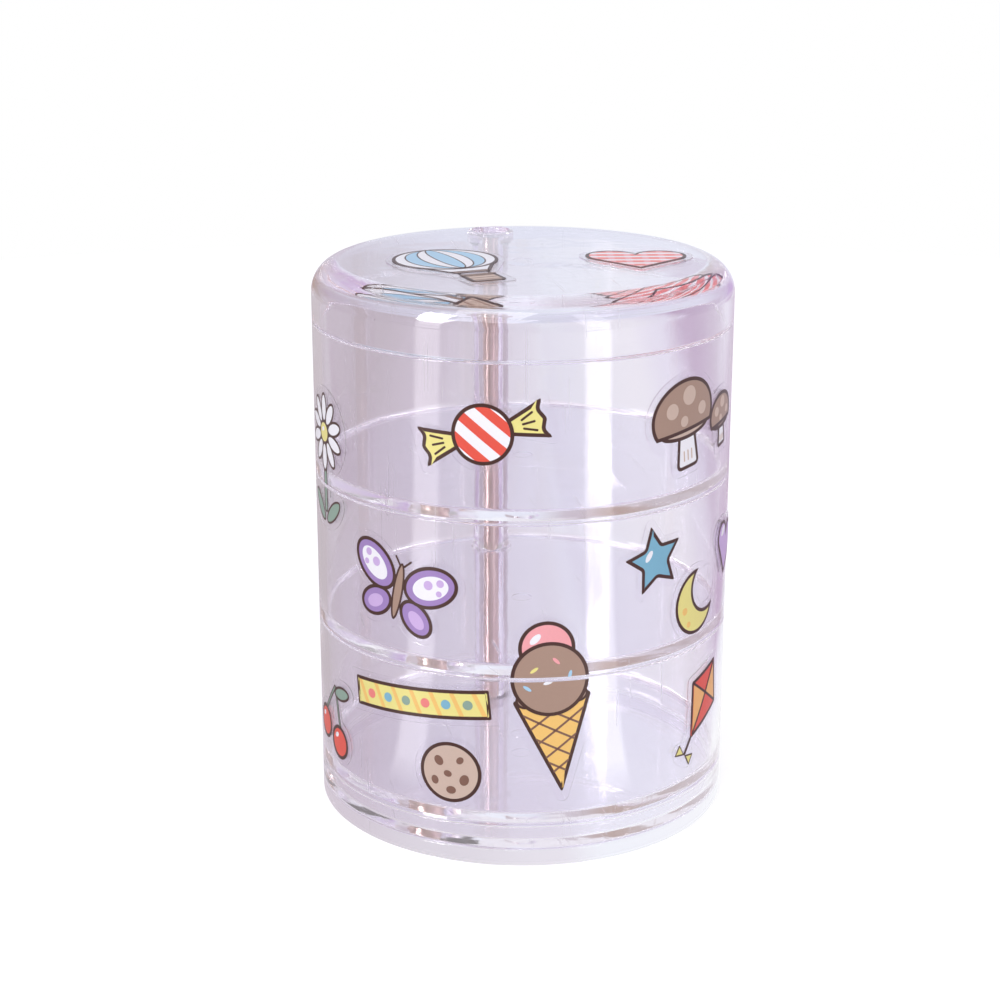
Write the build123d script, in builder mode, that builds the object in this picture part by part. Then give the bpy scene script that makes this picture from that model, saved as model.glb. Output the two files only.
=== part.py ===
# Clear round stack box: a base, three equal trays and a lid. All swing sideways about one
# metal rod near the rear edge, and printed vinyl stickers dress the outside.
# Millimetres, +Z up. The origin is on the table, under the middle of the box.
# The front of the box faces -Y, and the rod stands on the +Y side.
import os
from math import cos, radians, sin

from build123d import *

os.makedirs("parts", exist_ok=True)

# Overall sizes of the stack
outer_d = 100.0
base_h = 10.0
tray_h = 36.6
tray_names = ("tray_lower", "tray_middle", "tray_upper")
lid_h = 13.4

# Moulded walls
wall = 2.0
floor_t = 2.0
foot_recess = 0.4
floor_round = 1.0
rim_chamfer = 0.3
layer_gap = 0.25

# The shallow mark that the moulding gate leaves under each layer
gate_d = 5.0
gate_depth = 0.2

# Base
skirt_h = 3.8
base_chamfer = 1.0

# Lid
lid_plate = 3.2
lid_edge_round = 7.0
lid_inner_round = 1.5

# Rod, its head, washer and nut
pivot_inset = 10.5
rod_d = 4.0
rod_clearance = 0.08
rod_tip = 0.5
tip_chamfer = 0.4
head_d = 7.0
head_h = 2.6
head_chamfer = 0.4
cross_l = 4.2
cross_w = 0.9
cross_depth = 1.3
washer_d = 9.0
washer_t = 0.8
nut_across_flats = 7.0
nut_t = 2.2
nut_corner = 0.4
thread_clearance = 0.05

# Hollow posts that the rod runs through
post_top_d = 8.6
post_foot_d = 9.3
post_flare = 0.8
base_flare = 0.8

# Cup in the lid that takes the rod's head
cup_d = 11.6
cup_floor = 2.6
recess_d = 8.4
recess_depth = 4.0
recess_round = 0.8

# Sticker film
film_t = 0.15
film_glue = 0.05
film_margin = 1.5
seam_margin = 0.4

# Values worked out from the sizes above
outer_r = outer_d / 2
inner_r = outer_r - wall
gate_r = gate_d / 2
rod_r = rod_d / 2
bore_r = rod_r + rod_clearance
pivot_offset = outer_r - pivot_inset
seams = [base_h + i * tray_h for i in range(len(tray_names) + 1)]
lid_top = seams[-1] + lid_h
head_seat = lid_top - recess_depth
pivot_line = Axis((0, pivot_offset, 0), (0, 0, 1))
pivot_plane = Plane((0, pivot_offset, 0), x_dir=(1, 0, 0), z_dir=(0, -1, 0))


def corner(sketch, x, y):
    """The sketch's vertex nearest to x, y."""
    return sketch.vertices().sort_by_distance((x, y))[0]


def post(low, high, foot_r, top_r, seat, flare):
    """A tapered post round the rod, flared where it stands on the face at height seat."""
    lean = (foot_r - top_r) / (high - seat)
    with BuildSketch(pivot_plane) as outline:
        with BuildLine():
            flare_r = foot_r + flare
            sweep_in = TangentArc((flare_r, seat), (foot_r - flare * lean, seat + flare), tangent=(-1, 0))
            Polyline(sweep_in @ 1, (top_r, high), (0, high), (0, low), (flare_r, low), sweep_in @ 0)
        make_face()
        chamfer(corner(outline, top_r, high), rim_chamfer)
    revolve(outline.sketch, axis=pivot_line)


def make_tray(name, low):
    """One round tray, from its foot ring at height low to its open rim."""
    floor_low = low + foot_recess
    floor_top = floor_low + floor_t
    rim = low + tray_h - layer_gap
    with BuildPart() as tray:
        with BuildSketch(Plane.XZ) as section:
            with BuildLine():
                Polyline(
                    (0, floor_low + gate_depth), (gate_r, floor_low + gate_depth), (gate_r, floor_low),
                    (inner_r, floor_low), (inner_r, low), (outer_r, low), (outer_r, rim), (inner_r, rim),
                    (inner_r, floor_top), (0, floor_top), close=True,
                )
            make_face()
            fillet(corner(section, inner_r, floor_top), floor_round)
            chamfer(corner(section, outer_r, low), rim_chamfer)
            chamfer([corner(section, r, rim) for r in (inner_r, outer_r)], rim_chamfer)
        revolve(axis=Axis.Z)
        post_end = low + tray_h + foot_recess
        post(floor_low, post_end, post_foot_d / 2, post_top_d / 2, floor_top, post_flare)
        with Locations((0, pivot_offset, post_end)):
            Hole(bore_r)
    tray.part.label = name
    export_step(tray.part, f"parts/{name}.step")


with BuildPart() as base:
    base_rim = base_h - layer_gap
    base_floor = skirt_h + floor_t
    base_post_end = base_h + foot_recess
    with BuildSketch(Plane.XZ) as base_section:
        with BuildLine():
            Polyline(
                (0, skirt_h + gate_depth), (gate_r, skirt_h + gate_depth), (gate_r, skirt_h),
                (inner_r, skirt_h), (inner_r, 0), (outer_r, 0), (outer_r, base_rim), (inner_r, base_rim),
                (inner_r, base_floor), (0, base_floor), close=True,
            )
        make_face()
        chamfer([corner(base_section, inner_r, z) for z in (skirt_h, base_floor)], base_chamfer)
        chamfer([corner(base_section, r, base_rim) for r in (inner_r, outer_r)], rim_chamfer)
        chamfer(corner(base_section, outer_r, 0), rim_chamfer)
    revolve(axis=Axis.Z)
    post(skirt_h, base_post_end, post_foot_d / 2, post_foot_d / 2, base_floor, base_flare)
    with Locations((0, pivot_offset, base_post_end)):
        Hole(bore_r)
base.part.label = "base"
export_step(base.part, "parts/base.step")

for tray_name, seam in zip(tray_names, seams):
    make_tray(tray_name, seam)

with BuildPart() as lid:
    lid_low = seams[-1]
    plate_low = lid_top - lid_plate
    with BuildSketch(Plane.XZ) as lid_section:
        with BuildLine():
            Polyline(
                (0, plate_low + gate_depth), (gate_r, plate_low + gate_depth), (gate_r, plate_low),
                (inner_r, plate_low), (inner_r, lid_low), (outer_r, lid_low), (outer_r, lid_top),
                (0, lid_top), close=True,
            )
        make_face()
        fillet(corner(lid_section, outer_r, lid_top), lid_edge_round)
        fillet(corner(lid_section, inner_r, plate_low), lid_inner_round)
        chamfer([corner(lid_section, r, lid_low) for r in (inner_r, outer_r)], rim_chamfer)
    revolve(axis=Axis.Z)
    # The cup hangs under the plate, and narrows to a post that stands on the upper tray's post
    lid_post_end = lid_low + foot_recess
    cup_low = head_seat - cup_floor
    cup_taper = (cup_d - post_foot_d) / 2
    with BuildSketch(pivot_plane) as cup_outline:
        with BuildLine():
            Polyline(
                (0, lid_post_end), (post_top_d / 2, lid_post_end), (post_foot_d / 2, cup_low),
                (cup_d / 2, cup_low + cup_taper), (cup_d / 2, lid_top - lid_plate / 2),
                (0, lid_top - lid_plate / 2), close=True,
            )
        make_face()
    revolve(axis=pivot_line)
    with Locations((0, pivot_offset, head_seat)):
        Hole(bore_r)
    # The recess for the head, with a bell-shaped mouth
    mouth_r = recess_d / 2 + recess_round
    with BuildSketch(pivot_plane) as recess:
        with BuildLine():
            Polyline(
                (0, head_seat), (recess_d / 2, head_seat), (recess_d / 2, lid_top), (mouth_r + wall, lid_top),
                (mouth_r + wall, lid_top + wall), (0, lid_top + wall), close=True,
            )
        make_face()
        fillet(corner(recess, recess_d / 2, lid_top), recess_round)
    revolve(axis=pivot_line, mode=Mode.SUBTRACT)
lid.part.label = "lid"
export_step(lid.part, "parts/lid.step")

with BuildPart() as pivot_rod:
    with BuildSketch(Plane.XY.offset(rod_tip)):
        with Locations((0, pivot_offset)):
            Circle(rod_r)
    extrude(amount=head_seat - rod_tip)
    chamfer(pivot_rod.edges().group_by(Axis.Z)[0], tip_chamfer)
    with BuildSketch(Plane.XY.offset(head_seat)):
        with Locations((0, pivot_offset)):
            Circle(head_d / 2)
    extrude(amount=head_h)
    chamfer(pivot_rod.edges().group_by(Axis.Z)[-1], head_chamfer)
    with BuildSketch(Plane.XY.offset(head_seat + head_h)):
        with Locations((0, pivot_offset)):
            Rectangle(cross_l, cross_w)
            Rectangle(cross_w, cross_l)
    extrude(amount=-cross_depth, taper=12, mode=Mode.SUBTRACT)
pivot_rod.part.label = "pivot_rod"
export_step(pivot_rod.part, "parts/pivot_rod.step")

with BuildPart() as rod_washer:
    with BuildSketch(Plane.XY.offset(skirt_h - washer_t)):
        with Locations((0, pivot_offset)):
            Circle(washer_d / 2)
            Circle(rod_r + thread_clearance, mode=Mode.SUBTRACT)
    extrude(amount=washer_t)
rod_washer.part.label = "rod_washer"
export_step(rod_washer.part, "parts/rod_washer.step")

with BuildPart() as rod_nut:
    nut_low = skirt_h - washer_t - nut_t
    with BuildSketch(Plane.XY.offset(nut_low)):
        with Locations((0, pivot_offset)):
            RegularPolygon(nut_across_flats / 2, 6, major_radius=False)
            Circle(rod_r + thread_clearance, mode=Mode.SUBTRACT)
    extrude(amount=nut_t)
    # A nut's corners are turned down to a cone at both ends
    with BuildSketch(pivot_plane) as corners_cut:
        with BuildLine():
            nut_high = nut_low + nut_t
            flat_r = nut_across_flats / 2
            cone_r = flat_r + 2 * nut_corner
            Polyline(
                (0, nut_low), (flat_r, nut_low), (cone_r, nut_low + nut_corner),
                (cone_r, nut_high - nut_corner), (flat_r, nut_high), (0, nut_high), close=True,
            )
        make_face()
    revolve(axis=pivot_line, mode=Mode.INTERSECT)
rod_nut.part.label = "rod_nut"
export_step(rod_nut.part, "parts/rod_nut.step")


# The die-cut outline of each sticker: its printed motif, grown by the clear margin
def grown_polygon(*points):
    """A polygon, grown by the film's margin, with rounded corners."""
    with BuildLine() as edge:
        Polyline(*points, close=True)
    shape = make_face(edge.edges(), mode=Mode.PRIVATE)
    offset(shape, amount=film_margin, kind=Kind.ARC, mode=Mode.ADD)


def grown_ellipse(x, y, half_w, half_h, turn=0):
    """An ellipse at x, y, grown by the film's margin and turned."""
    with Locations(Location((x, y), turn)):
        Ellipse(half_w + film_margin, half_h + film_margin)


def heart(width):
    """A heart as wide as width, round its middle."""
    half = width / 2
    for side in (-1, 1):
        with Locations((side * 0.48 * half, 0.3 * half)):
            Circle(0.52 * half + film_margin)
    grown_polygon((0, -0.95 * half), (0.93 * half, 0), (0, 0.5 * half), (-0.93 * half, 0))


def star(radius):
    """A five-pointed star."""
    points = [((radius, 0.5 * radius)[i % 2], radians(90 + 36 * i)) for i in range(10)]
    grown_polygon(*[(r * cos(a), r * sin(a)) for r, a in points])


def moon(radius):
    """A crescent that opens to the upper right."""
    Circle(radius + film_margin)
    with Locations((0.55 * radius, 0.4 * radius)):
        Circle(0.75 * radius - film_margin, mode=Mode.SUBTRACT)


def sweet(length):
    """A round sweet with a twist of wrapper at each end."""
    unit = length / 32
    Circle(7.5 * unit + film_margin)
    for side in (-1, 1):
        grown_polygon((side * 6 * unit, 0), (side * 15.5 * unit, 5 * unit), (side * 15.5 * unit, -5 * unit))


def mushrooms(width):
    """A tall mushroom with a small one at its side."""
    unit = width / 34
    for x, size in ((-6 * unit, unit), (10.5 * unit, 0.62 * unit)):
        foot = -11 * unit
        grown_ellipse(x, foot + 13 * size, 11 * size, 9 * size)
        with Locations((x, foot + 5.5 * size)):
            RectangleRounded(8.5 * size + 2 * film_margin, 11 * size + 2 * film_margin, 2.5 * size)


def daisy(petal):
    """A daisy on a stalk with two leaves. Its flower is round the middle of the sketch."""
    Circle(petal + film_margin)
    with Locations((0, -1.35 * petal)):
        Rectangle(0.22 * petal + 2 * film_margin, 1.5 * petal + 2 * film_margin)
    for side in (-1, 1):
        grown_ellipse(side * 0.45 * petal, -1.95 * petal, 0.52 * petal, 0.22 * petal, side * 40)


def butterfly(width):
    """A butterfly with two pairs of wings."""
    unit = width / 30
    for side in (-1, 1):
        grown_ellipse(side * 8 * unit, 4 * unit, 7.2 * unit, 5.2 * unit, side * 28)
        grown_ellipse(side * 6 * unit, -5 * unit, 5.2 * unit, 3.8 * unit, side * -35)
    grown_ellipse(0, 0, 1.6 * unit, 8 * unit)


def ice_cream(width):
    """Two scoops on a wafer cone. The middle of the sketch is where the scoops meet the cone."""
    unit = width / 21
    for y, radius in ((5 * unit, 9 * unit), (12.5 * unit, 6.5 * unit)):
        with Locations((0, y)):
            Circle(radius + film_margin)
    grown_polygon((-9.5 * unit, 0), (9.5 * unit, 0), (0, -24 * unit))


def ribbon(length):
    """A strip of paper tape."""
    Rectangle(length + 2 * film_margin, length / 5 + 2 * film_margin)


def cookie(diameter):
    """A round cookie."""
    Circle(diameter / 2 + film_margin)


def cherries(width):
    """Two cherries on stalks that meet under a leaf."""
    unit = width / 18
    top = (unit, 8 * unit)
    for x, y in ((-4.6 * unit, -4.5 * unit), (4.8 * unit, -5.5 * unit)):
        with Locations((x, y)):
            Circle(4.3 * unit + film_margin)
        grown_polygon((x - unit, y), (x + unit, y), top)
    grown_ellipse(4.5 * unit, 7.5 * unit, 4 * unit, 2 * unit, 20)


def kite(height):
    """A diamond kite with a bow on its tail."""
    unit = height / 25
    grown_polygon((0, 13 * unit), (8 * unit, 4 * unit), (0, -8 * unit), (-8 * unit, 4 * unit))
    with Locations((0, -9 * unit)):
        Rectangle(unit + 2 * film_margin, 6 * unit)
    grown_ellipse(0, -12 * unit, 3.2 * unit, 1.4 * unit)


def balloon(height):
    """A hot-air balloon with its basket."""
    unit = height / 40
    with Locations((0, 7 * unit)):
        Circle(12.5 * unit + film_margin)
    grown_polygon((-11 * unit, unit), (11 * unit, unit), (4.5 * unit, -10 * unit), (-4.5 * unit, -10 * unit))
    with Locations((0, -15 * unit)):
        RectangleRounded(9 * unit + 2 * film_margin, 11 * unit + 2 * film_margin, 1.5 * unit)


def wall_sticker(name, outline, size, angle, height, tilt, low, high):
    """A film round the wall, angle degrees from the front towards +X, kept between two heights."""
    a, t = radians(angle), radians(tilt)
    across = (cos(t) * cos(a), cos(t) * sin(a), sin(t))
    face = Plane((0, 0, height), x_dir=across, z_dir=(sin(a), -cos(a), 0))
    film_r = outer_r + film_glue
    with BuildPart() as film:
        with BuildSketch(face):
            outline(size)
        extrude(amount=outer_d)
        with BuildSketch(Plane.XY.offset(low + seam_margin)):
            Circle(film_r + film_t)
            Circle(film_r, mode=Mode.SUBTRACT)
        extrude(amount=high - low - layer_gap - 2 * seam_margin, mode=Mode.INTERSECT)
    film.part.label = name
    export_step(film.part, f"parts/{name}.step")


def lid_sticker(name, outline, size, x, y, tilt):
    """A film flat on the lid, its middle at x, y."""
    with BuildPart() as film:
        with BuildSketch(Plane((x, y, lid_top + film_glue)).rotated((0, 0, tilt))):
            outline(size)
        extrude(amount=film_t)
    film.part.label = name
    export_step(film.part, f"parts/{name}.step")


# Each layer's stickers: size, angle from the front, height above the layer's foot, and tilt
lower, middle, upper = seams[:3]
wall_sticker("sticker_ribbon", ribbon, 36, -41, lower + 28.5, 5, lower, middle)
wall_sticker("sticker_cookie", cookie, 15, -31, lower + 12.5, 0, lower, middle)
wall_sticker("sticker_cherries", cherries, 18, -77, lower + 16, -8, lower, middle)
wall_sticker("sticker_kite", kite, 25, 46, lower + 20, -35, lower, middle)
wall_sticker("sticker_cone_foot", ice_cream, 21, -4, middle - 5, 6, lower, middle)
wall_sticker("sticker_cone_top", ice_cream, 21, -4, middle - 5, 6, middle, upper)
wall_sticker("sticker_butterfly", butterfly, 29, -46, middle + 18, -12, middle, upper)
wall_sticker("sticker_star", star, 8.5, 25, middle + 25, 10, middle, upper)
wall_sticker("sticker_moon", moon, 8, 42, middle + 11.5, 0, middle, upper)
wall_sticker("sticker_heart", heart, 15, 63, middle + 20, -12, middle, upper)
wall_sticker("sticker_daisy_foot", daisy, 9.5, -78, upper + 13, 0, middle, upper)
wall_sticker("sticker_daisy_top", daisy, 9.5, -78, upper + 13, 0, upper, seams[3])
wall_sticker("sticker_sweet", sweet, 30, -22, upper + 20.5, 16, upper, seams[3])
wall_sticker("sticker_mushrooms", mushrooms, 33, 42, upper + 19.5, 6, upper, seams[3])
lid_sticker("sticker_balloon", balloon, 40, -17, -6, 12)
lid_sticker("sticker_big_heart", heart, 24, 26, -7, -10)
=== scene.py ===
from math import acos, atan2, cos, degrees, hypot, pi, radians, sin

import bmesh
import bpy
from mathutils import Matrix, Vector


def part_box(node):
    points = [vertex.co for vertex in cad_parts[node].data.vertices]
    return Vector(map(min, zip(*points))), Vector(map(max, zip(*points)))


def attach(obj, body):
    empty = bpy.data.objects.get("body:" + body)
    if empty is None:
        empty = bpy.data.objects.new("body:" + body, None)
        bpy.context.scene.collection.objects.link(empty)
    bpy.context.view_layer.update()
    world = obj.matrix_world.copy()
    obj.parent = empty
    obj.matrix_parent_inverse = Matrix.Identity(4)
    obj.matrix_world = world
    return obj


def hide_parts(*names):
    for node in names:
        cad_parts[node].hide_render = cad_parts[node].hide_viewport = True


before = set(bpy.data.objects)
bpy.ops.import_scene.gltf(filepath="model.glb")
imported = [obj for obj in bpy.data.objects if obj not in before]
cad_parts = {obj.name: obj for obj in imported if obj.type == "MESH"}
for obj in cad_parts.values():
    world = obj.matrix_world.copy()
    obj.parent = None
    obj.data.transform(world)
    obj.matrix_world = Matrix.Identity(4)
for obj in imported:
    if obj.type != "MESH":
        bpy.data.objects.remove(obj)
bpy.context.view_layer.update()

# Camera
# It stands before the box and a little to the left, above the lid, and looks slightly
# down, as the product's picture was taken.
camera_place = (-0.1031, -0.4841, 0.22745)
camera_down = radians(17.29)
camera_turn = radians(-11.4)
camera_lens = 76.36

bpy.ops.object.select_all(action="DESELECT")
bpy.ops.object.camera_add(location=camera_place, rotation=(pi / 2 - camera_down, 0, camera_turn))
camera = bpy.context.object
camera.data.lens = camera_lens
bpy.context.scene.camera = camera

# Studio
# A round white table in a pale lilac room that is brightest behind the box. Two tall strip
# lamps stand in front at both sides, a broad soft lamp hangs above, and a window to the left
# makes the highlight on the lid's edge.
table_radius = 0.75
table_white = (0.93, 0.93, 0.935, 1)
table_shade = (0.45, 0.44, 0.46, 1)
table_glow = (0.75, 0.75, 0.75, 1)
# Painted shade: the table's colour as seen through and off the box, changing from left to right, darker at
# the left and in a magenta band at the right.
painted_table_shade = ((-0.30, (0.62, 0.56, 0.59)), (-0.085, (0.56, 0.50, 0.53)), (-0.045, (0.68, 0.62, 0.68)),
                (-0.02, (0.76, 0.73, 0.78)), (0.008, (0.84, 0.82, 0.87)), (0.02, (0.93, 0.96, 1.0)),
                (0.065, (0.98, 0.99, 1.0)), (0.088, (0.90, 0.89, 0.97)), (0.118, (0.56, 0.42, 0.58)),
                (0.20, (0.68, 0.59, 0.71)), (0.40, (0.86, 0.83, 0.92)))
seen_white = (1, 1, 1, 1)
unlit = (0, 0, 0, 1)
room_across = ((-1.0, (0.55, 0.48, 0.52)), (-0.5, (0.50, 0.42, 0.42)), (-0.3, (0.45, 0.33, 0.29)),
               (-0.15, (0.58, 0.52, 0.58)), (0.0, (0.80, 0.83, 0.93)), (0.12, (0.88, 0.92, 1.0)),
               (0.25, (0.80, 0.76, 0.90)), (0.4, (0.58, 0.42, 0.68)), (0.7, (0.68, 0.60, 0.78)),
               (1.0, (0.74, 0.71, 0.82)))
room_front = 0.75
sky_light = (0.94, 0.93, 1.0, 1)
sky_strength = 0.62
strip_turns = (radians(27.0), radians(-62.0))
strip_size = (0.28, 1.5)
strip_distance = 1.15
strip_power = 3
strip_half_turn = radians(7)
# Painted light: each strip lamp has a glowing pool painted on the table, seen only in reflections, with these
# strengths and starting this far from the middle.
painted_strip_pools = (1.9, 1.6)
painted_pool_start = (0.08, 0.10)
top_size = (0.6, 0.5)
top_place = (-0.35, -0.55, 0.95)
top_power = 3.5
window_size = (0.27, 0.5)
window_place = (-0.81, -0.43, 0.60)
window_power = 8


def node(material_tree, kind, place, **inputs):
    """A new node of one kind, with plain values set on its named sockets."""
    made = material_tree.nodes.new(kind)
    made.location = place
    for socket, value in inputs.items():
        made.inputs[socket.replace("_", " ")].default_value = value
    return made


def sums(tree, operation, place, first, second=0.0):
    """The result of a maths node on two sockets or plain values."""
    made = tree.nodes.new("ShaderNodeMath")
    made.operation = operation
    made.location = place
    for i, value in enumerate((first, second)):
        if isinstance(value, (int, float)):
            made.inputs[i].default_value = value
        else:
            tree.links.new(value, made.inputs[i])
    return made.outputs["Value"]


def colours(tree, place, first, second, factor, blend="MIX"):
    """The result of a colour mix of two sockets or plain colours."""
    made = tree.nodes.new("ShaderNodeMix")
    made.data_type = "RGBA"
    made.blend_type = blend
    made.location = place
    for socket, value in (("A", first), ("B", second), ("Factor", factor)):
        target = next(i for i in made.inputs if i.name == socket and i.enabled)
        if isinstance(value, (int, float, tuple)):
            target.default_value = value
        else:
            tree.links.new(value, target)
    return next(o for o in made.outputs if o.enabled)


def across(tree, place, position, stops):
    """A colour that changes from left to right in the picture, by stops at places along that line."""
    axes = node(tree, "ShaderNodeSeparateXYZ", place)
    tree.links.new(position, axes.inputs["Vector"])
    rightwards = sums(tree, "MULTIPLY", place, axes.outputs["X"], cos(camera_turn))
    rightwards = sums(tree, "ADD", place, rightwards, sums(tree, "MULTIPLY", place, axes.outputs["Y"],
                                                           sin(camera_turn)))
    low, high = stops[0][0], stops[-1][0]
    shift = node(tree, "ShaderNodeMapRange", place, From_Min=low, From_Max=high)
    blend = node(tree, "ShaderNodeValToRGB", place)
    blend.color_ramp.interpolation = "EASE"
    while len(blend.color_ramp.elements) < len(stops):
        blend.color_ramp.elements.new(0.5)
    for element, (at, colour) in zip(blend.color_ramp.elements, stops):
        element.position = (at - low) / (high - low)
        element.color = (*colour, 1)
    tree.links.new(rightwards, shift.inputs["Value"])
    tree.links.new(shift.outputs["Result"], blend.inputs["Fac"])
    return blend.outputs["Color"]


def new_material(name):
    """An empty node material and its output."""
    material = bpy.data.materials.new(name)
    material.use_nodes = True
    material.node_tree.nodes.clear()
    output = node(material.node_tree, "ShaderNodeOutputMaterial", (900, 0))
    return material, material.node_tree, output


bpy.ops.mesh.primitive_circle_add(vertices=128, radius=table_radius, fill_type="NGON")
table = bpy.context.object
table.name = "table"
table_top, tree, output = new_material("table_top")
path = node(tree, "ShaderNodeLightPath", (-600, 400))
clear_rays = sums(tree, "MAXIMUM", (-400, 400), path.outputs["Is Glossy Ray"],
                  path.outputs["Is Transmission Ray"])
place = node(tree, "ShaderNodeTexCoord", (-1200, -200))
axes = node(tree, "ShaderNodeSeparateXYZ", (-1000, -200))
tree.links.new(place.outputs["Object"], axes.inputs["Vector"])
front = sums(tree, "MULTIPLY", (-800, -300), axes.outputs["Y"], -1.0)
bearing = sums(tree, "ARCTAN2", (-600, -200), axes.outputs["X"], front)
# Painted light: the table glows in a pool under each strip lamp, clear of the box, for reflected rays only.
painted_pools = 0.0
for strip_turn, pool_glow_strength in zip(strip_turns, painted_strip_pools):
    aside = sums(tree, "ABSOLUTE", (-300, -200), sums(tree, "SUBTRACT", (-450, -200), bearing, strip_turn))
    one_pool_glow = node(tree, "ShaderNodeMapRange", (-150, -200), From_Min=strip_half_turn * 1.15,
                From_Max=strip_half_turn * 0.85, To_Max=pool_glow_strength)
    tree.links.new(aside, one_pool_glow.inputs["Value"])
    painted_pools = sums(tree, "ADD", (0, -200), one_pool_glow.outputs["Result"], painted_pools)
away = node(tree, "ShaderNodeVectorMath", (-600, -700))
away.operation = "LENGTH"
clear_of_box = node(tree, "ShaderNodeMapRange", (-400, -700), From_Min=painted_pool_start[0], From_Max=painted_pool_start[1])
tree.links.new(place.outputs["Object"], away.inputs[0])
tree.links.new(away.outputs["Value"], clear_of_box.inputs["Value"])
painted_pools = sums(tree, "MULTIPLY", (100, -200), painted_pools, clear_of_box.outputs["Result"])
painted_pool_light = sums(tree, "MULTIPLY", (150, -200), painted_pools, path.outputs["Is Glossy Ray"])
board = node(tree, "ShaderNodeBsdfDiffuse", (300, 200), Color=table_white)
shade = node(tree, "ShaderNodeBsdfDiffuse", (300, 0))
shade_colour = colours(tree, (100, 0), unlit, table_shade, path.outputs["Is Camera Ray"])
tree.links.new(shade_colour, shade.inputs["Color"])
glow = node(tree, "ShaderNodeEmission", (300, -100))
# Seen through and off the box, the table shows painted shade from left to right in place of its white.
painted_table_colour = across(tree, (-400, -500), place.outputs["Object"], painted_table_shade)
glow_colour = colours(tree, (100, -100), table_glow, painted_table_colour, clear_rays)
glow_colour = colours(tree, (200, -100), glow_colour, painted_pool_light, 1.0, "ADD")
tree.links.new(glow_colour, glow.inputs["Color"])
seen_board = node(tree, "ShaderNodeAddShader", (500, -50))
choice = node(tree, "ShaderNodeMixShader", (700, 0))
tree.links.new(shade.outputs["BSDF"], seen_board.inputs[0])
tree.links.new(glow.outputs["Emission"], seen_board.inputs[1])
bright_rays = sums(tree, "MAXIMUM", (-200, 400), path.outputs["Is Camera Ray"], clear_rays)
tree.links.new(bright_rays, choice.inputs["Fac"])
tree.links.new(board.outputs["BSDF"], choice.inputs[1])
tree.links.new(seen_board.outputs["Shader"], choice.inputs[2])
tree.links.new(choice.outputs["Shader"], output.inputs["Surface"])
table.data.materials.append(table_top)

world = bpy.data.worlds.new("studio")
bpy.context.scene.world = world
world.use_nodes = True
tree = world.node_tree
tree.nodes.clear()
output = node(tree, "ShaderNodeOutputWorld", (900, 0))
path = node(tree, "ShaderNodeLightPath", (-600, 400))
clear_rays = sums(tree, "MAXIMUM", (-400, 400), path.outputs["Is Glossy Ray"],
                  path.outputs["Is Transmission Ray"])
direction = node(tree, "ShaderNodeTexCoord", (-1200, 0))
axes = node(tree, "ShaderNodeSeparateXYZ", (-1000, 0))
tree.links.new(direction.outputs["Generated"], axes.inputs["Vector"])
dim = node(tree, "ShaderNodeMapRange", (-700, -100), From_Min=-0.2, From_Max=0.2, To_Min=room_front)
tree.links.new(axes.outputs["Y"], dim.inputs["Value"])
room_seen = across(tree, (-900, 300), direction.outputs["Generated"], room_across)
room_colour = colours(tree, (-200, 0), room_seen, dim.outputs["Result"], 1.0, "MULTIPLY")
seen = node(tree, "ShaderNodeBackground", (300, 200), Color=seen_white, Strength=1.0)
mirrored = node(tree, "ShaderNodeBackground", (300, 0), Strength=1.0)
lit = node(tree, "ShaderNodeBackground", (300, -200), Color=sky_light, Strength=sky_strength)
tree.links.new(room_colour, mirrored.inputs["Color"])
object_sky = node(tree, "ShaderNodeMixShader", (500, -100))
sky = node(tree, "ShaderNodeMixShader", (700, 0))
tree.links.new(clear_rays, object_sky.inputs["Fac"])
tree.links.new(lit.outputs["Background"], object_sky.inputs[1])
tree.links.new(mirrored.outputs["Background"], object_sky.inputs[2])
tree.links.new(path.outputs["Is Camera Ray"], sky.inputs["Fac"])
tree.links.new(object_sky.outputs["Shader"], sky.inputs[1])
tree.links.new(seen.outputs["Background"], sky.inputs[2])
tree.links.new(sky.outputs["Shader"], output.inputs["Surface"])


def lamp(place, tilt, turn, size, power):
    """A rectangular soft lamp that the camera doesn't see."""
    bpy.ops.object.light_add(type="AREA", location=place, rotation=(tilt, 0, turn))
    made = bpy.context.object
    made.data.shape = "RECTANGLE"
    made.data.size, made.data.size_y = size
    made.data.energy = power
    made.visible_camera = False
    return made


for strip_turn in strip_turns:
    lamp((strip_distance * sin(strip_turn), -strip_distance * cos(strip_turn), strip_size[1] / 2),
         pi / 2, strip_turn, strip_size, strip_power)
for place, size, power in ((top_place, top_size, top_power), (window_place, window_size, window_power)):
    made = lamp(place, atan2(hypot(place[0], place[1]), place[2]), atan2(place[0], -place[1]), size, power)
    made.visible_diffuse = power != window_power
bpy.context.scene.view_settings.view_transform = "Standard"
cycles = bpy.context.scene.cycles
cycles.max_bounces = 96
cycles.transmission_bounces = 96
cycles.glossy_bounces = 96
cycles.transparent_max_bounces = 96

# Base
# The foot of the stack: a shallow clear plate on a ring, moulded with a short post
# for the rod. Its rim carries the lower tray.
wall = 0.002
floor_thick = 0.002
gap_between_layers = 0.00025
rim_round = 0.0003
base_skirt = 0.0038
base_round = 0.001
base_flare = 0.0008
sides = 512
outer_r = 0.05
pivot = (0, 0.0395)
post_foot_r = 0.00465
post_top_r = 0.0043
bore_r = 0.00208
foot_recess = 0.0004
ring_margin = 0.0001
gate_r = 0.0025
gate_deep = 0.0002
plastic_tint = (0.935, 0.915, 0.955, 1)
plastic_ior = 1.57
dust_tint = (0.35, 0.32, 0.33, 1)
# Painted light: the clear plastic glows faintly in its tint.
plastic_glow = 0.005


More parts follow.
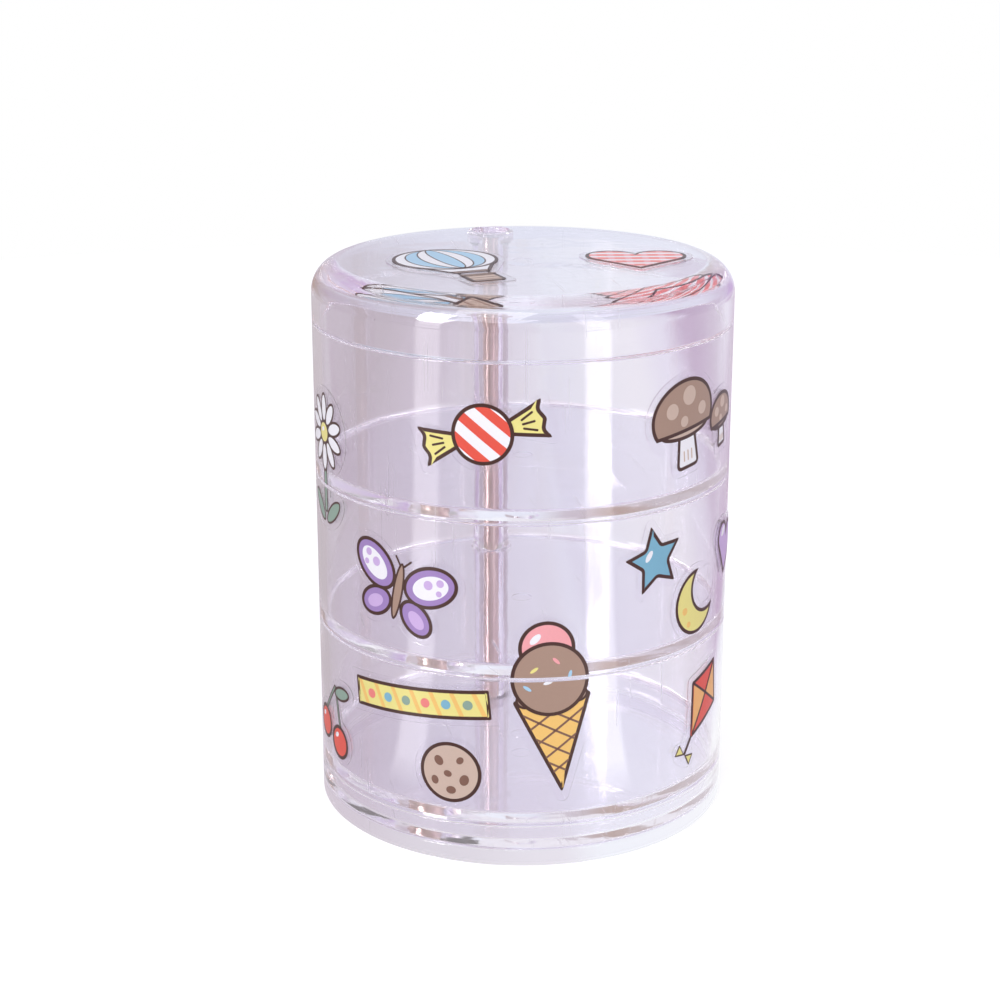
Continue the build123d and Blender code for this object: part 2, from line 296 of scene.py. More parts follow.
def clear_plastic():
    """Clear moulded styrene: a faint lilac tint, soft flow ripples, hair scratches and dust, and a faint
    painted glow in its tint.
    """
    material, tree, output = new_material("clear_styrene")
    plastic = node(tree, "ShaderNodeBsdfPrincipled", (600, 0), IOR=plastic_ior)
    plastic.inputs["Transmission Weight"].default_value = 1.0
    place = node(tree, "ShaderNodeTexCoord", (-1000, 0))
    ripple = node(tree, "ShaderNodeTexNoise", (-400, -400), Scale=90.0, Detail=2.0)
    ripples = node(tree, "ShaderNodeBump", (100, -400), Strength=0.15, Distance=0.0002)
    hair = node(tree, "ShaderNodeMapping", (-700, -100), Rotation=(0.3, 0.5, 0.9), Scale=(2600, 40, 40))
    scratch = node(tree, "ShaderNodeTexNoise", (-400, -100), Scale=1.0, Detail=1.0)
    scratches = node(tree, "ShaderNodeMapRange", (-100, -100), From_Min=0.73, From_Max=0.78)
    grooves = node(tree, "ShaderNodeBump", (300, -300), Strength=0.15, Distance=0.00002)
    grooves.invert = True
    speck = node(tree, "ShaderNodeTexVoronoi", (-400, 300), Scale=110.0, Randomness=1.0)
    dust = node(tree, "ShaderNodeMapRange", (-100, 300), From_Min=0.022, From_Max=0.014)
    tree.links.new(place.outputs["Object"], ripple.inputs["Vector"])
    tree.links.new(ripple.outputs["Fac"], ripples.inputs["Height"])
    tree.links.new(place.outputs["Object"], hair.inputs["Vector"])
    tree.links.new(hair.outputs["Vector"], scratch.inputs["Vector"])
    tree.links.new(scratch.outputs["Fac"], scratches.inputs["Value"])
    tree.links.new(scratches.outputs["Result"], grooves.inputs["Height"])
    tree.links.new(ripples.outputs["Normal"], grooves.inputs["Normal"])
    tree.links.new(place.outputs["Object"], speck.inputs["Vector"])
    tree.links.new(speck.outputs["Distance"], dust.inputs["Value"])
    tint = colours(tree, (300, 400), plastic_tint, dust_tint, dust.outputs["Result"])
    tree.links.new(tint, plastic.inputs["Base Color"])
    # Painted light: a faint glow in the plastic's tint.
    plastic.inputs["Emission Color"].default_value = plastic_tint
    plastic.inputs["Emission Strength"].default_value = plastic_glow
    worn = sums(tree, "MAXIMUM", (100, 100), scratches.outputs["Result"], dust.outputs["Result"])
    roughness = node(tree, "ShaderNodeMapRange", (300, 100), To_Min=0.015, To_Max=0.3)
    tree.links.new(worn, roughness.inputs["Value"])
    tree.links.new(roughness.outputs["Result"], plastic.inputs["Roughness"])
    tree.links.new(grooves.outputs["Normal"], plastic.inputs["Normal"])
    tree.links.new(plastic.outputs["BSDF"], output.inputs["Surface"])
    return material


def settle(name):
    """Names the object just added, and moves its place into its mesh."""
    piece = bpy.context.object
    piece.name = name
    piece.data.name = name
    bpy.ops.object.transform_apply(location=True, rotation=True, scale=True)
    return piece


def edit(piece):
    """Opens one piece alone in edit mode."""
    bpy.ops.object.select_all(action="DESELECT")
    piece.select_set(True)
    bpy.context.view_layer.objects.active = piece
    bpy.ops.object.mode_set(mode="EDIT")


def close():
    """Leaves edit mode."""
    bpy.ops.object.mode_set(mode="OBJECT")


def choose_faces(piece, test):
    """Selects the faces whose middle and normal pass the test."""
    bpy.ops.mesh.select_mode(type="FACE")
    bpy.ops.mesh.select_all(action="DESELECT")
    mesh = bmesh.from_edit_mesh(piece.data)
    for face in mesh.faces:
        face.select_set(test(face.calc_center_median(), face.normal))
    bmesh.update_edit_mesh(piece.data)


def choose_ring(piece, *rings):
    """Selects the edges that lie on a round edge of the layer: its radius and its height."""
    bpy.ops.mesh.select_mode(type="EDGE")
    bpy.ops.mesh.select_all(action="DESELECT")
    mesh = bmesh.from_edit_mesh(piece.data)
    for edge in mesh.edges:
        for radius, height in rings:
            if all(abs(v.co.xy.length - radius) < ring_margin and abs(v.co.z - height) < ring_margin
                   for v in edge.verts):
                edge.select_set(True)
    bmesh.update_edit_mesh(piece.data)


def hollow(piece, upper, height):
    """Sinks the upper or the lower face of a round block to a height, inside its wall."""
    choose_faces(piece, lambda middle, normal: normal.z * (1 if upper else -1) > 0.9)
    bpy.ops.mesh.inset(thickness=wall)
    mesh = bmesh.from_edit_mesh(piece.data)
    face = next(f for f in mesh.faces if f.select)
    drop = height - face.calc_center_median().z
    bpy.ops.mesh.extrude_region_move(TRANSFORM_OT_translate={"value": (0, 0, drop)})


def round_off(piece, radius, segments, *rings):
    """Rounds the chosen ring edges of a layer."""
    choose_ring(piece, *rings)
    bpy.ops.mesh.bevel(offset=radius, segments=segments, affect="EDGES", clamp_overlap=False)


def turned(name, steps, smooth_sides=96):
    """A solid turned about the rod's line. The steps are radius and height, from its foot up."""
    radius, height = steps[0]
    bpy.ops.object.select_all(action="DESELECT")
    bpy.ops.mesh.primitive_circle_add(
        vertices=smooth_sides, radius=radius, fill_type="NGON", location=(*pivot, height)
    )
    piece = settle(name)
    edit(piece)
    bpy.ops.mesh.select_all(action="SELECT")
    for wide, high in steps[1:]:
        bpy.ops.mesh.extrude_region_move(TRANSFORM_OT_translate={"value": (0, 0, high - height)})
        bpy.ops.transform.resize(value=(wide / radius, wide / radius, 1), center_override=(*pivot, high))
        radius, height = wide, high
    bpy.ops.mesh.select_all(action="SELECT")
    bpy.ops.mesh.normals_make_consistent(inside=False)
    close()
    return piece


def boolean(piece, tool, operation):
    """Joins a second solid to the piece or cuts it away."""
    modifier = piece.modifiers.new("boolean", "BOOLEAN")
    modifier.operation = operation
    modifier.solver = "EXACT"
    modifier.object = tool
    bpy.ops.object.select_all(action="DESELECT")
    bpy.context.view_layer.objects.active = piece
    bpy.ops.object.modifier_apply(modifier=modifier.name)
    bpy.data.objects.remove(tool)


def polish(piece):
    """Smooth shading over the rounds, with the flat faces kept flat."""
    bpy.ops.object.select_all(action="DESELECT")
    piece.select_set(True)
    bpy.context.view_layer.objects.active = piece
    bpy.ops.object.shade_smooth_by_angle(angle=radians(35))
    modifier = piece.modifiers.new("flat faces", "WEIGHTED_NORMAL")
    modifier.keep_sharp = True
    bpy.ops.object.modifier_apply(modifier=modifier.name)


def flared(foot_r, flare, height):
    """The steps of a post's foot that sweeps in from a floor at that height."""
    turns = [radians(90 * i / 6) for i in range(7)]
    return [(foot_r + flare * (1 - sin(t)), height + flare * (1 - cos(t))) for t in turns]


def gate_mark(piece, underside):
    """The shallow round mark of the moulding gate, in the middle of a layer's underside."""
    bpy.ops.object.select_all(action="DESELECT")
    bpy.ops.mesh.primitive_cylinder_add(
        vertices=48, radius=gate_r, depth=2 * gate_deep, location=(0, 0, underside)
    )
    boolean(piece, settle("gate"), "DIFFERENCE")


def round_block(name, low, high):
    """The round block that a layer starts from."""
    bpy.ops.object.select_all(action="DESELECT")
    bpy.ops.mesh.primitive_cylinder_add(
        vertices=sides, radius=outer_r, depth=high - low, location=(0, 0, (low + high) / 2)
    )
    return settle(name)


styrene = clear_plastic()
inner_r = outer_r - wall
base_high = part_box("tray_lower")[0][2]
base_rim = base_high - gap_between_layers
base_floor = base_skirt + floor_thick
base = round_block("base_clear", 0, base_rim)
edit(base)
hollow(base, True, base_floor)
hollow(base, False, base_skirt)
round_off(base, base_round, 4, (inner_r, base_floor), (inner_r, base_skirt))
round_off(base, rim_round, 3, (inner_r, base_rim), (outer_r, base_rim), (outer_r, 0))
close()
base_post_high = base_high + foot_recess
base_post = turned("base_post", [(post_foot_r + base_flare, base_floor - floor_thick / 2)]
                   + flared(post_foot_r, base_flare, base_floor) + [(post_foot_r, base_post_high)])
boolean(base, base_post, "UNION")
boolean(base, turned("bore", [(bore_r, 0), (bore_r, base_post_high + wall)]), "DIFFERENCE")
gate_mark(base, base_skirt)
polish(base)
base.data.materials.append(styrene)
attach(base, "base")
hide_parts("base")

# Trays
# Three equal round trays, each moulded in one piece with its post. The next layer stands
# on the rim's level and turns on the post's end.
tray_bodies = ("tray_lower", "tray_middle", "tray_upper")
tray_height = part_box("tray_middle")[0][2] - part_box("tray_lower")[0][2]
floor_round = 0.001
post_flare = 0.0008

tray_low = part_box("tray_lower")[0][2]
tray_rim = tray_low + tray_height - gap_between_layers
tray_floor_low = tray_low + foot_recess
tray_floor = tray_floor_low + floor_thick
first_tray = round_block("tray_lower_clear", tray_low, tray_rim)
edit(first_tray)
hollow(first_tray, True, tray_floor)
hollow(first_tray, False, tray_floor_low)
round_off(first_tray, floor_round, 5, (inner_r, tray_floor))
round_off(first_tray, rim_round, 3, (inner_r, tray_rim), (outer_r, tray_rim), (outer_r, tray_low))
close()
post_high = tray_low + tray_height + foot_recess
tray_post = turned("tray_post", [(post_foot_r + post_flare, tray_floor - floor_thick / 2)]
                   + flared(post_foot_r, post_flare, tray_floor)
                   + [(post_top_r, post_high - rim_round), (post_top_r - rim_round, post_high)])
boolean(first_tray, tray_post, "UNION")
boolean(first_tray, turned("bore", [(bore_r, tray_low - wall), (bore_r, post_high + wall)]), "DIFFERENCE")
gate_mark(first_tray, tray_floor_low)
polish(first_tray)
first_tray.data.materials.append(styrene)
for i, body in enumerate(tray_bodies):
    tray = first_tray
    if i:
        tray = first_tray.copy()
        tray.data = first_tray.data.copy()
        tray.name = f"{body}_clear"
        bpy.context.collection.objects.link(tray)
        edit(tray)
        bpy.ops.mesh.select_all(action="SELECT")
        bpy.ops.transform.translate(value=(0, 0, i * tray_height))
        close()
    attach(tray, body)
    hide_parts(body)

# Lid
# A shallow clear cap with a big round edge. A cup under its top takes the head of the
# rod, in a recess with a soft mouth.
lid_plate = 0.0032
lid_edge_round = 0.007
lid_inner_round = 0.0035
lid_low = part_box("lid")[0][2]
lid_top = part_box("lid")[1][2]
cup_r = 0.0058
cup_floor = 0.0026
recess_r = 0.0042
recess_deep = 0.004
recess_mouth = 0.0008

lid = round_block("lid_clear", lid_low, lid_top)
edit(lid)
hollow(lid, False, lid_top - lid_plate)
round_off(lid, lid_edge_round, 14, (outer_r, lid_top))
round_off(lid, lid_inner_round, 10, (inner_r, lid_top - lid_plate))
round_off(lid, rim_round, 3, (inner_r, lid_low), (outer_r, lid_low))
close()
cup_low = lid_top - recess_deep - cup_floor
cup = turned("cup", [(post_top_r, lid_low + foot_recess), (post_foot_r, cup_low),
                     (cup_r, cup_low + cup_r - post_foot_r), (cup_r, lid_top - lid_plate / 2)])
boolean(lid, cup, "UNION")
boolean(lid, turned("bore", [(bore_r, lid_low - wall), (bore_r, lid_top)]), "DIFFERENCE")
gate_mark(lid, lid_top - lid_plate)
mouth = [(recess_r + recess_mouth * (1 - cos(radians(18 * i))),
          lid_top - recess_mouth + recess_mouth * sin(radians(18 * i))) for i in range(6)]
mouth_out = recess_r + recess_mouth + wall
boolean(lid, turned("recess", [(recess_r, lid_top - recess_deep)] + mouth
                    + [(mouth_out, lid_top), (mouth_out, lid_top + wall)]), "DIFFERENCE")
polish(lid)
lid.data.materials.append(styrene)
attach(lid, "lid")
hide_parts("lid")

# Rod
# A satin bronze-plated steel rod. Its low round head lies in the lid's recess with a cross
# slot, and its threaded end carries a washer and a nut under the base.
rod_r = 0.002
rod_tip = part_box("pivot_rod")[0][2]
head_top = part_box("pivot_rod")[1][2]
head_seat = lid_top - recess_deep
head_r = 0.0035
head_round = 0.0004
cross_long, cross_wide, cross_deep = 0.0042, 0.0009, 0.0013
thread_pitch = 0.0007
thread_turns = 6
thread_deep = 0.0003
bronze = (0.82, 0.66, 0.56)
zinc = (0.60, 0.57, 0.58)
# Painted light: the plated metal glows faintly in its own colour.
metal_glow = 0.12


def plated_metal(name, colour, brushing):
    """Plated steel with fine drawing marks along the rod, a cloudy tone, and a faint painted glow in its own
    colour.
    """
    material, tree, output = new_material(name)
    metal = node(tree, "ShaderNodeBsdfPrincipled", (600, 0), Metallic=1.0)
    place = node(tree, "ShaderNodeTexCoord", (-800, 0))
    along = node(tree, "ShaderNodeMapping", (-600, 0), Scale=brushing)
    marks = node(tree, "ShaderNodeTexNoise", (-400, 0), Scale=1.0, Detail=4.0)
    cloud = node(tree, "ShaderNodeTexNoise", (-400, -300), Scale=260.0, Detail=2.0)
    rough = node(tree, "ShaderNodeMapRange", (0, 0), To_Min=0.22, To_Max=0.42)
    bump = node(tree, "ShaderNodeBump", (300, -300), Strength=0.15, Distance=0.00005)
    tree.links.new(place.outputs["Object"], along.inputs["Vector"])
    tree.links.new(along.outputs["Vector"], marks.inputs["Vector"])
    tree.links.new(place.outputs["Object"], cloud.inputs["Vector"])
    tree.links.new(marks.outputs["Fac"], rough.inputs["Value"])
    tree.links.new(marks.outputs["Fac"], bump.inputs["Height"])
    tone = colours(tree, (0, -200), (*[0.9 * c for c in colour], 1), (*[min(1, 1.1 * c) for c in colour], 1),
                   cloud.outputs["Fac"])
    tree.links.new(tone, metal.inputs["Base Color"])
    # Painted light: the metal glows in its own tone.
    tree.links.new(tone, metal.inputs["Emission Color"])
    metal.inputs["Emission Strength"].default_value = metal_glow
    tree.links.new(rough.outputs["Result"], metal.inputs["Roughness"])
    tree.links.new(bump.outputs["Normal"], metal.inputs["Normal"])
    tree.links.new(metal.outputs["BSDF"], output.inputs["Surface"])
    return material


steps = [(rod_r - 2 * thread_deep, rod_tip)]
for i in range(thread_turns):
    steps.append((rod_r, rod_tip + (i + 0.5) * thread_pitch))
    steps.append((rod_r - thread_deep, rod_tip + (i + 1) * thread_pitch))
steps += [(rod_r, rod_tip + (thread_turns + 0.5) * thread_pitch), (rod_r, head_seat), (head_r, head_seat)]
steps += [(head_r - head_round * (1 - cos(radians(18 * i))),
           head_top - head_round + head_round * sin(radians(18 * i))) for i in range(6)]
rod = turned("rod", steps, 72)
for slot_size in ((cross_long, cross_wide), (cross_wide, cross_long)):
    bpy.ops.object.select_all(action="DESELECT")
    bpy.ops.mesh.primitive_cube_add(size=1, location=(*pivot, head_top))
    bpy.context.object.scale = (*slot_size, 2 * cross_deep)
    boolean(rod, settle("slot_cutter"), "DIFFERENCE")
polish(rod)
zinc_plate = plated_metal("zinc_plate", zinc, (700, 90, 700))
rod.data.materials.append(plated_metal("bronze_plate", bronze, (900, 900, 60)))
rod.data.materials.append(zinc_plate)
for face in rod.data.polygons:
    face.material_index = int(face.center.z > head_seat - ring_margin)
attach(rod, "base")
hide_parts("pivot_rod")
for name in ("rod_washer", "rod_nut"):
    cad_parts[name].data.materials.clear()
    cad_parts[name].data.materials.append(zinc_plate)

# Sticker films
# Die-cut clear vinyl, thin and slightly hazy, with a glue back that grips the plastic. Each
# is cut a little outside its printed motif.
film_tint = (0.985, 0.98, 0.99, 1)
film_names = [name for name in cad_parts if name.startswith("sticker_")]


def clear_vinyl():
    """Soft clear film: nearly no edge reflection, with a fine haze of its own."""
    material, tree, output = new_material("clear_vinyl")
    vinyl = node(tree, "ShaderNodeBsdfPrincipled", (600, 0), IOR=1.12)
    vinyl.inputs["Base Color"].default_value = film_tint
    vinyl.inputs["Transmission Weight"].default_value = 1.0
    place = node(tree, "ShaderNodeTexCoord", (-600, 0))
    haze = node(tree, "ShaderNodeTexNoise", (-200, 0), Scale=900.0, Detail=3.0)
    roughness = node(tree, "ShaderNodeMapRange", (200, 0), To_Min=0.08, To_Max=0.2)
    tree.links.new(place.outputs["Object"], haze.inputs["Vector"])
    tree.links.new(haze.outputs["Fac"], roughness.inputs["Value"])
    tree.links.new(roughness.outputs["Result"], vinyl.inputs["Roughness"])
    tree.links.new(vinyl.outputs["BSDF"], output.inputs["Surface"])
    return material


vinyl = clear_vinyl()
for name in film_names:
    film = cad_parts[name]
    film.data.materials.clear()
    film.data.materials.append(vinyl)

# Sweet sticker
# A striped ball with a twist of wrapper at each end, printed on the upper tray's film in
# flat inks with a dark brown line round each colour.
mm = 0.001
ink_step = 0.03 * mm
ink_thick = 0.02 * mm
line_wide = 0.85
column = 1.5 * mm
seam_margin = 0.4 * mm
print_r = outer_r + 0.2 * mm
# Painted light: the inks' backs glow in their own colour with this strength.
ink_back_glow = 0.45
ink_colours = {
    "line": (70, 40, 32), "yellow": (238, 226, 138), "amber": (244, 196, 112), "white": (245, 243, 248),
    "tan": (205, 180, 165), "cocoa": (168, 138, 122), "dark": (128, 92, 78), "green": (140, 165, 150),
    "purple": (160, 130, 190), "lilac": (205, 175, 225), "blue": (125, 180, 205), "sky": (168, 208, 235),
    "red": (232, 84, 68), "orange": (245, 180, 110), "pink": (245, 165, 170), "rose": (238, 130, 125),
}
inks = {}


def ink_material(name, glow_strength=0.0):
    """One printing ink on vinyl, with the slight mottling of a printed flat colour. Its back, which
    faces the middle of the box, glows faintly in the ink's colour: painted light in place of light through
    the ink."""
    if (name, glow_strength) not in inks:
        colour = [(c / 255) ** 2.2 for c in ink_colours[name]]
        material, tree, output = new_material(f"ink_{name}")
        print_coat = node(tree, "ShaderNodeBsdfPrincipled", (600, 0), Roughness=0.35)
        place = node(tree, "ShaderNodeTexCoord", (-600, 0))
        grain = node(tree, "ShaderNodeTexNoise", (-200, 0), Scale=2500.0, Detail=2.0)
        mottle = node(tree, "ShaderNodeMix", (200, 0))
        mottle.data_type = "RGBA"
        mottle.inputs["A"].default_value = (*[c * 0.96 for c in colour], 1)
        mottle.inputs["B"].default_value = (*[min(1, c * 1.03) for c in colour], 1)
        tree.links.new(place.outputs["Object"], grain.inputs["Vector"])
        tree.links.new(grain.outputs["Fac"], mottle.inputs["Factor"])
        tree.links.new(mottle.outputs["Result"], print_coat.inputs["Base Color"])
        tree.links.new(mottle.outputs["Result"], print_coat.inputs["Emission Color"])
        # Painted light: faces turned to the middle of the box glow in the ink's colour, and a given extra
        # glow lights the whole ink.
        inwards = node(tree, "ShaderNodeVectorMath", (-300, -300))
        inwards.operation = "DOT_PRODUCT"
        tree.links.new(place.outputs["Object"], inwards.inputs[0])
        tree.links.new(place.outputs["Normal"], inwards.inputs[1])
        is_back = sums(tree, "LESS_THAN", (0, -300), inwards.outputs["Value"])
        back_face_glow = sums(tree, "MULTIPLY", (200, -300), is_back, ink_back_glow)
        painted_glow = sums(tree, "MAXIMUM", (400, -300), back_face_glow, glow_strength)
        tree.links.new(painted_glow, print_coat.inputs["Emission Strength"])
        tree.links.new(print_coat.outputs["BSDF"], output.inputs["Surface"])
        inks[name, glow_strength] = material
    return inks[name, glow_strength]


def disc(x, y, half_wide, half_high=0, turn=0, corners=56):
    """A flat round or oval patch, in millimetres on the sheet."""
    bpy.ops.object.select_all(action="DESELECT")
    bpy.ops.mesh.primitive_circle_add(
        vertices=corners, radius=1, fill_type="NGON", location=(x * mm, y * mm, 0),
        rotation=(0, 0, radians(turn))
    )
    bpy.context.object.scale = (half_wide * mm, (half_high or half_wide) * mm, 1)
    return settle("patch")


def plate(points, corner=0.0):
    """A flat patch through the points, in millimetres, with its corners rounded."""
    bpy.ops.object.select_all(action="DESELECT")
    bpy.ops.mesh.primitive_circle_add(vertices=len(points), radius=1, fill_type="NGON")
    patch = settle("patch")
    for vertex, (x, y) in zip(patch.data.vertices, points):
        vertex.co = (x * mm, y * mm, 0)
    edit(patch)
    bpy.ops.mesh.select_all(action="SELECT")
    if corner:
        bpy.ops.mesh.bevel(offset=corner * mm, segments=4, affect="VERTICES")
    bpy.ops.mesh.select_all(action="SELECT")
    mesh = bmesh.from_edit_mesh(patch.data)
    mesh.normal_update()
    if any(face.normal.z < 0 for face in mesh.faces):
        bpy.ops.mesh.flip_normals()
    close()
    return patch


def stroke(x, y, to_x, to_y, wide=line_wide):
    """A straight pen line with round ends."""
    long = ((to_x - x) ** 2 + (to_y - y) ** 2) ** 0.5
    across_x, across_y = -(to_y - y) / long * wide / 2, (to_x - x) / long * wide / 2
    return plate([(x + across_x, y + across_y), (x - across_x, y - across_y),
                  (to_x - across_x, to_y - across_y), (to_x + across_x, to_y + across_y)], 0.4 * wide)


def trim(patch, x, y, turn):
    """Cuts a patch along a line through x, y. What lies to the side that turn points to is cut off."""
    edit(patch)
    bpy.ops.mesh.select_all(action="SELECT")
    bpy.ops.mesh.bisect(plane_co=(x * mm, y * mm, 0), clear_outer=True,
                        plane_no=(cos(radians(turn)), sin(radians(turn)), 0))
    close()
    return patch


def band(patch, x, y, turn, wide):
    """Keeps a straight band of a patch, centred on x, y and lying across turn."""
    half = wide / 2
    trim(patch, x + half * cos(radians(turn)), y + half * sin(radians(turn)), turn)
    return trim(patch, x - half * cos(radians(turn)), y - half * sin(radians(turn)), turn + 180)


def ink(patch, colour, level, line=line_wide):
    """Prints a patch in a colour, with the dark line inside its edge, on one of the sheet's levels."""
    patch.data.materials.append(ink_material("line"))
    patch.data.materials.append(ink_material(colour))
    edit(patch)
    bpy.ops.mesh.select_all(action="SELECT")
    if line:
        bpy.ops.mesh.inset(thickness=line * mm)
    mesh = bmesh.from_edit_mesh(patch.data)
    for face in mesh.faces:
        face.material_index = 1 if face.select else 0
    bmesh.update_edit_mesh(patch.data)
    bpy.ops.mesh.select_all(action="SELECT")
    bpy.ops.transform.translate(value=(0, 0, level * ink_step))
    close()
    return patch


def sheet_of(patches, tilt):
    """Joins the patches of a motif and turns the sheet by its tilt."""
    bpy.ops.object.select_all(action="DESELECT")
    for patch in patches:
        patch.select_set(True)
    bpy.context.view_layer.objects.active = patches[0]
    bpy.ops.object.join()
    motif = bpy.context.object
    motif.rotation_euler = (0, 0, radians(tilt))
    bpy.ops.object.transform_apply(location=True, rotation=True, scale=True)
    return motif


def cut_sheet(motif, axis, at, **clear):
    """Cuts all patches of a sheet along one straight line."""
    edit(motif)
    bpy.ops.mesh.select_all(action="SELECT")
    place = [0, 0, 0]
    across = [0, 0, 0]
    place[axis], across[axis] = at, 1
    bpy.ops.mesh.bisect(plane_co=place, plane_no=across, **clear)
    close()


def thicken(motif, name, body):
    """Gives the inks their thickness and lets the print ride on its layer."""
    bpy.ops.object.select_all(action="DESELECT")
    motif.select_set(True)
    bpy.context.view_layer.objects.active = motif
    modifier = motif.modifiers.new("ink", "SOLIDIFY")
    modifier.thickness = ink_thick
    modifier.offset = 1
    bpy.ops.object.modifier_apply(modifier=modifier.name)
    motif.name = name
    motif.data.name = name
    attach(motif, body)


def wall_print(name, patches, turn, height, tilt, *layers):
    """Wraps a motif on the wall, turn degrees from the front, and cuts it where layers meet."""
    motif = sheet_of(patches, tilt)
    reach = max(abs(v.co.x) for v in motif.data.vertices)
    for i in range(-int(reach / column), int(reach / column) + 1):
        cut_sheet(motif, 0, i * column)
    for body in layers:
        part = motif.copy()
        part.data = motif.data.copy()
        bpy.context.collection.objects.link(part)
        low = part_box(body)[0][2] + seam_margin
        high = low + tray_height - gap_between_layers - 2 * seam_margin
        cut_sheet(part, 1, low - height, clear_inner=True)
        cut_sheet(part, 1, high - height, clear_outer=True)
        turned_by = radians(turn)
        for vertex in part.data.vertices:
            x, y, raised = vertex.co
            deep = -((print_r + raised) ** 2 - x ** 2) ** 0.5
            vertex.co = (x * cos(turned_by) - deep * sin(turned_by),
                         x * sin(turned_by) + deep * cos(turned_by), height + y)
        thicken(part, name if len(layers) == 1 else f"{name}_{body.split('_')[1]}", body)
    bpy.data.objects.remove(motif)


lower_low, middle_low, upper_low = (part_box(body)[0][2] for body in tray_bodies)
unit = 30 / 32
ball_r = 7.5 * unit
sweet = []
for side in (-1, 1):
    fan = [(5 * unit * side, 1.4), (15.5 * unit * side, 5 * unit), (14.4 * unit * side, 2.5 * unit),
           (15.5 * unit * side, 0), (14.4 * unit * side, -2.5 * unit), (15.5 * unit * side, -5 * unit),
           (5 * unit * side, -1.4)]
    sweet.append(ink(plate(fan, 0.5), "yellow", 1))
    for lean in (-1, 0, 1):
        sweet.append(ink(stroke(9 * side, 0.9 * lean, 12 * side, 2.2 * lean, 0.5), "line", 2, 0))
sweet.append(ink(disc(0, 0, ball_r), "white", 3))
stripe_turn, stripe_step = 35, 4.6
for i in (-1, 0, 1):
    stripe = band(disc(0, 0, ball_r - line_wide), stripe_step * i * cos(radians(stripe_turn)),
                  stripe_step * i * sin(radians(stripe_turn)), stripe_turn, 2.2)
    sweet.append(ink(stripe, "red", 4, 0))
wall_print("print_sweet", sweet, -22, upper_low + 20.5 * mm, 16, "tray_upper")

# Mushroom sticker
# A tall brown mushroom and a small one beside it, with pale spots and stems, printed flat
# and wrapped round the upper tray.
unit = 33 / 34
mushrooms = []
for x, size in ((-6 * unit, unit), (10.5 * unit, 0.62 * unit)):
    foot = -11 * unit
    brim = foot + 9 * size
    cap_y = foot + 13 * size
    stem = [(x - 3 * size, brim + size), (x - 4.2 * size, foot), (x + 4.2 * size, foot),
            (x + 3 * size, brim + size)]
    mushrooms.append(ink(plate(stem, 1.6 * size), "white", 1))
    mushrooms.append(ink(disc(x, brim + 0.6 * size, 8.6 * size, 2.2 * size), "tan", 2))
    mushrooms.append(ink(trim(disc(x, cap_y, 11 * size, 9 * size), x, brim, -90), "cocoa", 3))
    for dot_x, dot_y, dot_r in ((-4.6, 2.2, 1.9), (1.4, 4.6, 2.3), (6.2, 0.2, 1.6), (-0.8, -1.2, 1.3)):
        mushrooms.append(ink(disc(x + dot_x * size, cap_y + dot_y * size, dot_r * size), "tan", 4, 0))
    for blade in (-1.4, 0, 1.4):
        blade_x = x + blade * size
        mushrooms.append(ink(stroke(blade_x, foot + 2 * size, blade_x, foot + 4.6 * size, 0.4), "tan", 2, 0))
wall_print("print_mushrooms", mushrooms, 42, upper_low + 19.5 * mm, 6, "tray_upper")

# Daisy sticker
# A white daisy on a green stalk with two leaves. It is cut where the upper tray stands on
# the middle one.
petal = 9.5
daisy = [ink(stroke(0, -0.5 * petal, 0, -2.05 * petal, 0.22 * petal), "green", 1, 0.45)]
for side in (-1, 1):
    leaf = disc(side * 0.45 * petal, -1.95 * petal, 0.5 * petal, 0.2 * petal, side * 40)
    daisy.append(ink(leaf, "green", 2, 0.5))
for i in range(10):
    out = 90 + 36 * i
    daisy.append(ink(disc(0.62 * petal * cos(radians(out)), 0.62 * petal * sin(radians(out)),
                          0.38 * petal, 0.2 * petal, out, 32), "white", 3 + i % 2, 0.6))
daisy.append(ink(disc(0, 0, 0.3 * petal), "yellow", 5, 0.6))
daisy.append(ink(disc(-0.5, 0.7, 0.8, 0.5, 30, 24), "white", 6, 0))
wall_print("print_daisy", daisy, -78, upper_low + 13 * mm, 0, "tray_middle", "tray_upper")

# Butterfly sticker
# Two pairs of violet wings with pale fields and spots on a thin brown body, printed flat
# and wrapped round the middle tray.
unit = 29 / 30
butterfly = []
for side in (-1, 1):
    butterfly.append(ink(disc(side * 6 * unit, -5 * unit, 5.2 * unit, 3.8 * unit, side * -35), "purple", 1))
    field = disc(side * 6.2 * unit, -5.2 * unit, 2.6 * unit, 1.6 * unit, side * -35)
    butterfly.append(ink(field, "lilac", 2, 0))
    butterfly.append(ink(disc(side * 8 * unit, 4 * unit, 7.2 * unit, 5.2 * unit, side * 28), "purple", 3))
    butterfly.append(ink(disc(side * 8.2 * unit, 4 * unit, 4.7 * unit, 2.9 * unit, side * 28), "white", 4, 0))
    for along, lift_y, dot_r in ((10.4, 6, 0.9), (7.6, 4.6, 1.1), (10.6, 3.4, 0.7)):
        butterfly.append(ink(disc(side * along * unit, lift_y * unit, dot_r), "lilac", 5, 0))
    butterfly.append(ink(stroke(side * 0.5, 6.5 * unit, side * 2.2, 8.6 * unit, 0.5), "line", 2, 0))
butterfly.append(ink(disc(0, 0, 1.5 * unit, 7.4 * unit), "cocoa", 6, 0.5))
wall_print("print_butterfly", butterfly, -46, middle_low + 18 * mm, -12, "tray_middle")

# Star and moon stickers
# A small blue star and a yellow crescent, each on a small film of its own on the middle
# tray.
points = [((8.5, 4.25)[i % 2], radians(90 + 36 * i)) for i in range(10)]
star = [ink(plate([(r * cos(a), r * sin(a)) for r, a in points], 0.5), "blue", 1)]
star.append(ink(disc(-1.6, 1.6, 1.5, 0.7, 45, 32), "white", 2, 0))
wall_print("print_star", star, 25, middle_low + 25 * mm, 10, "tray_middle")


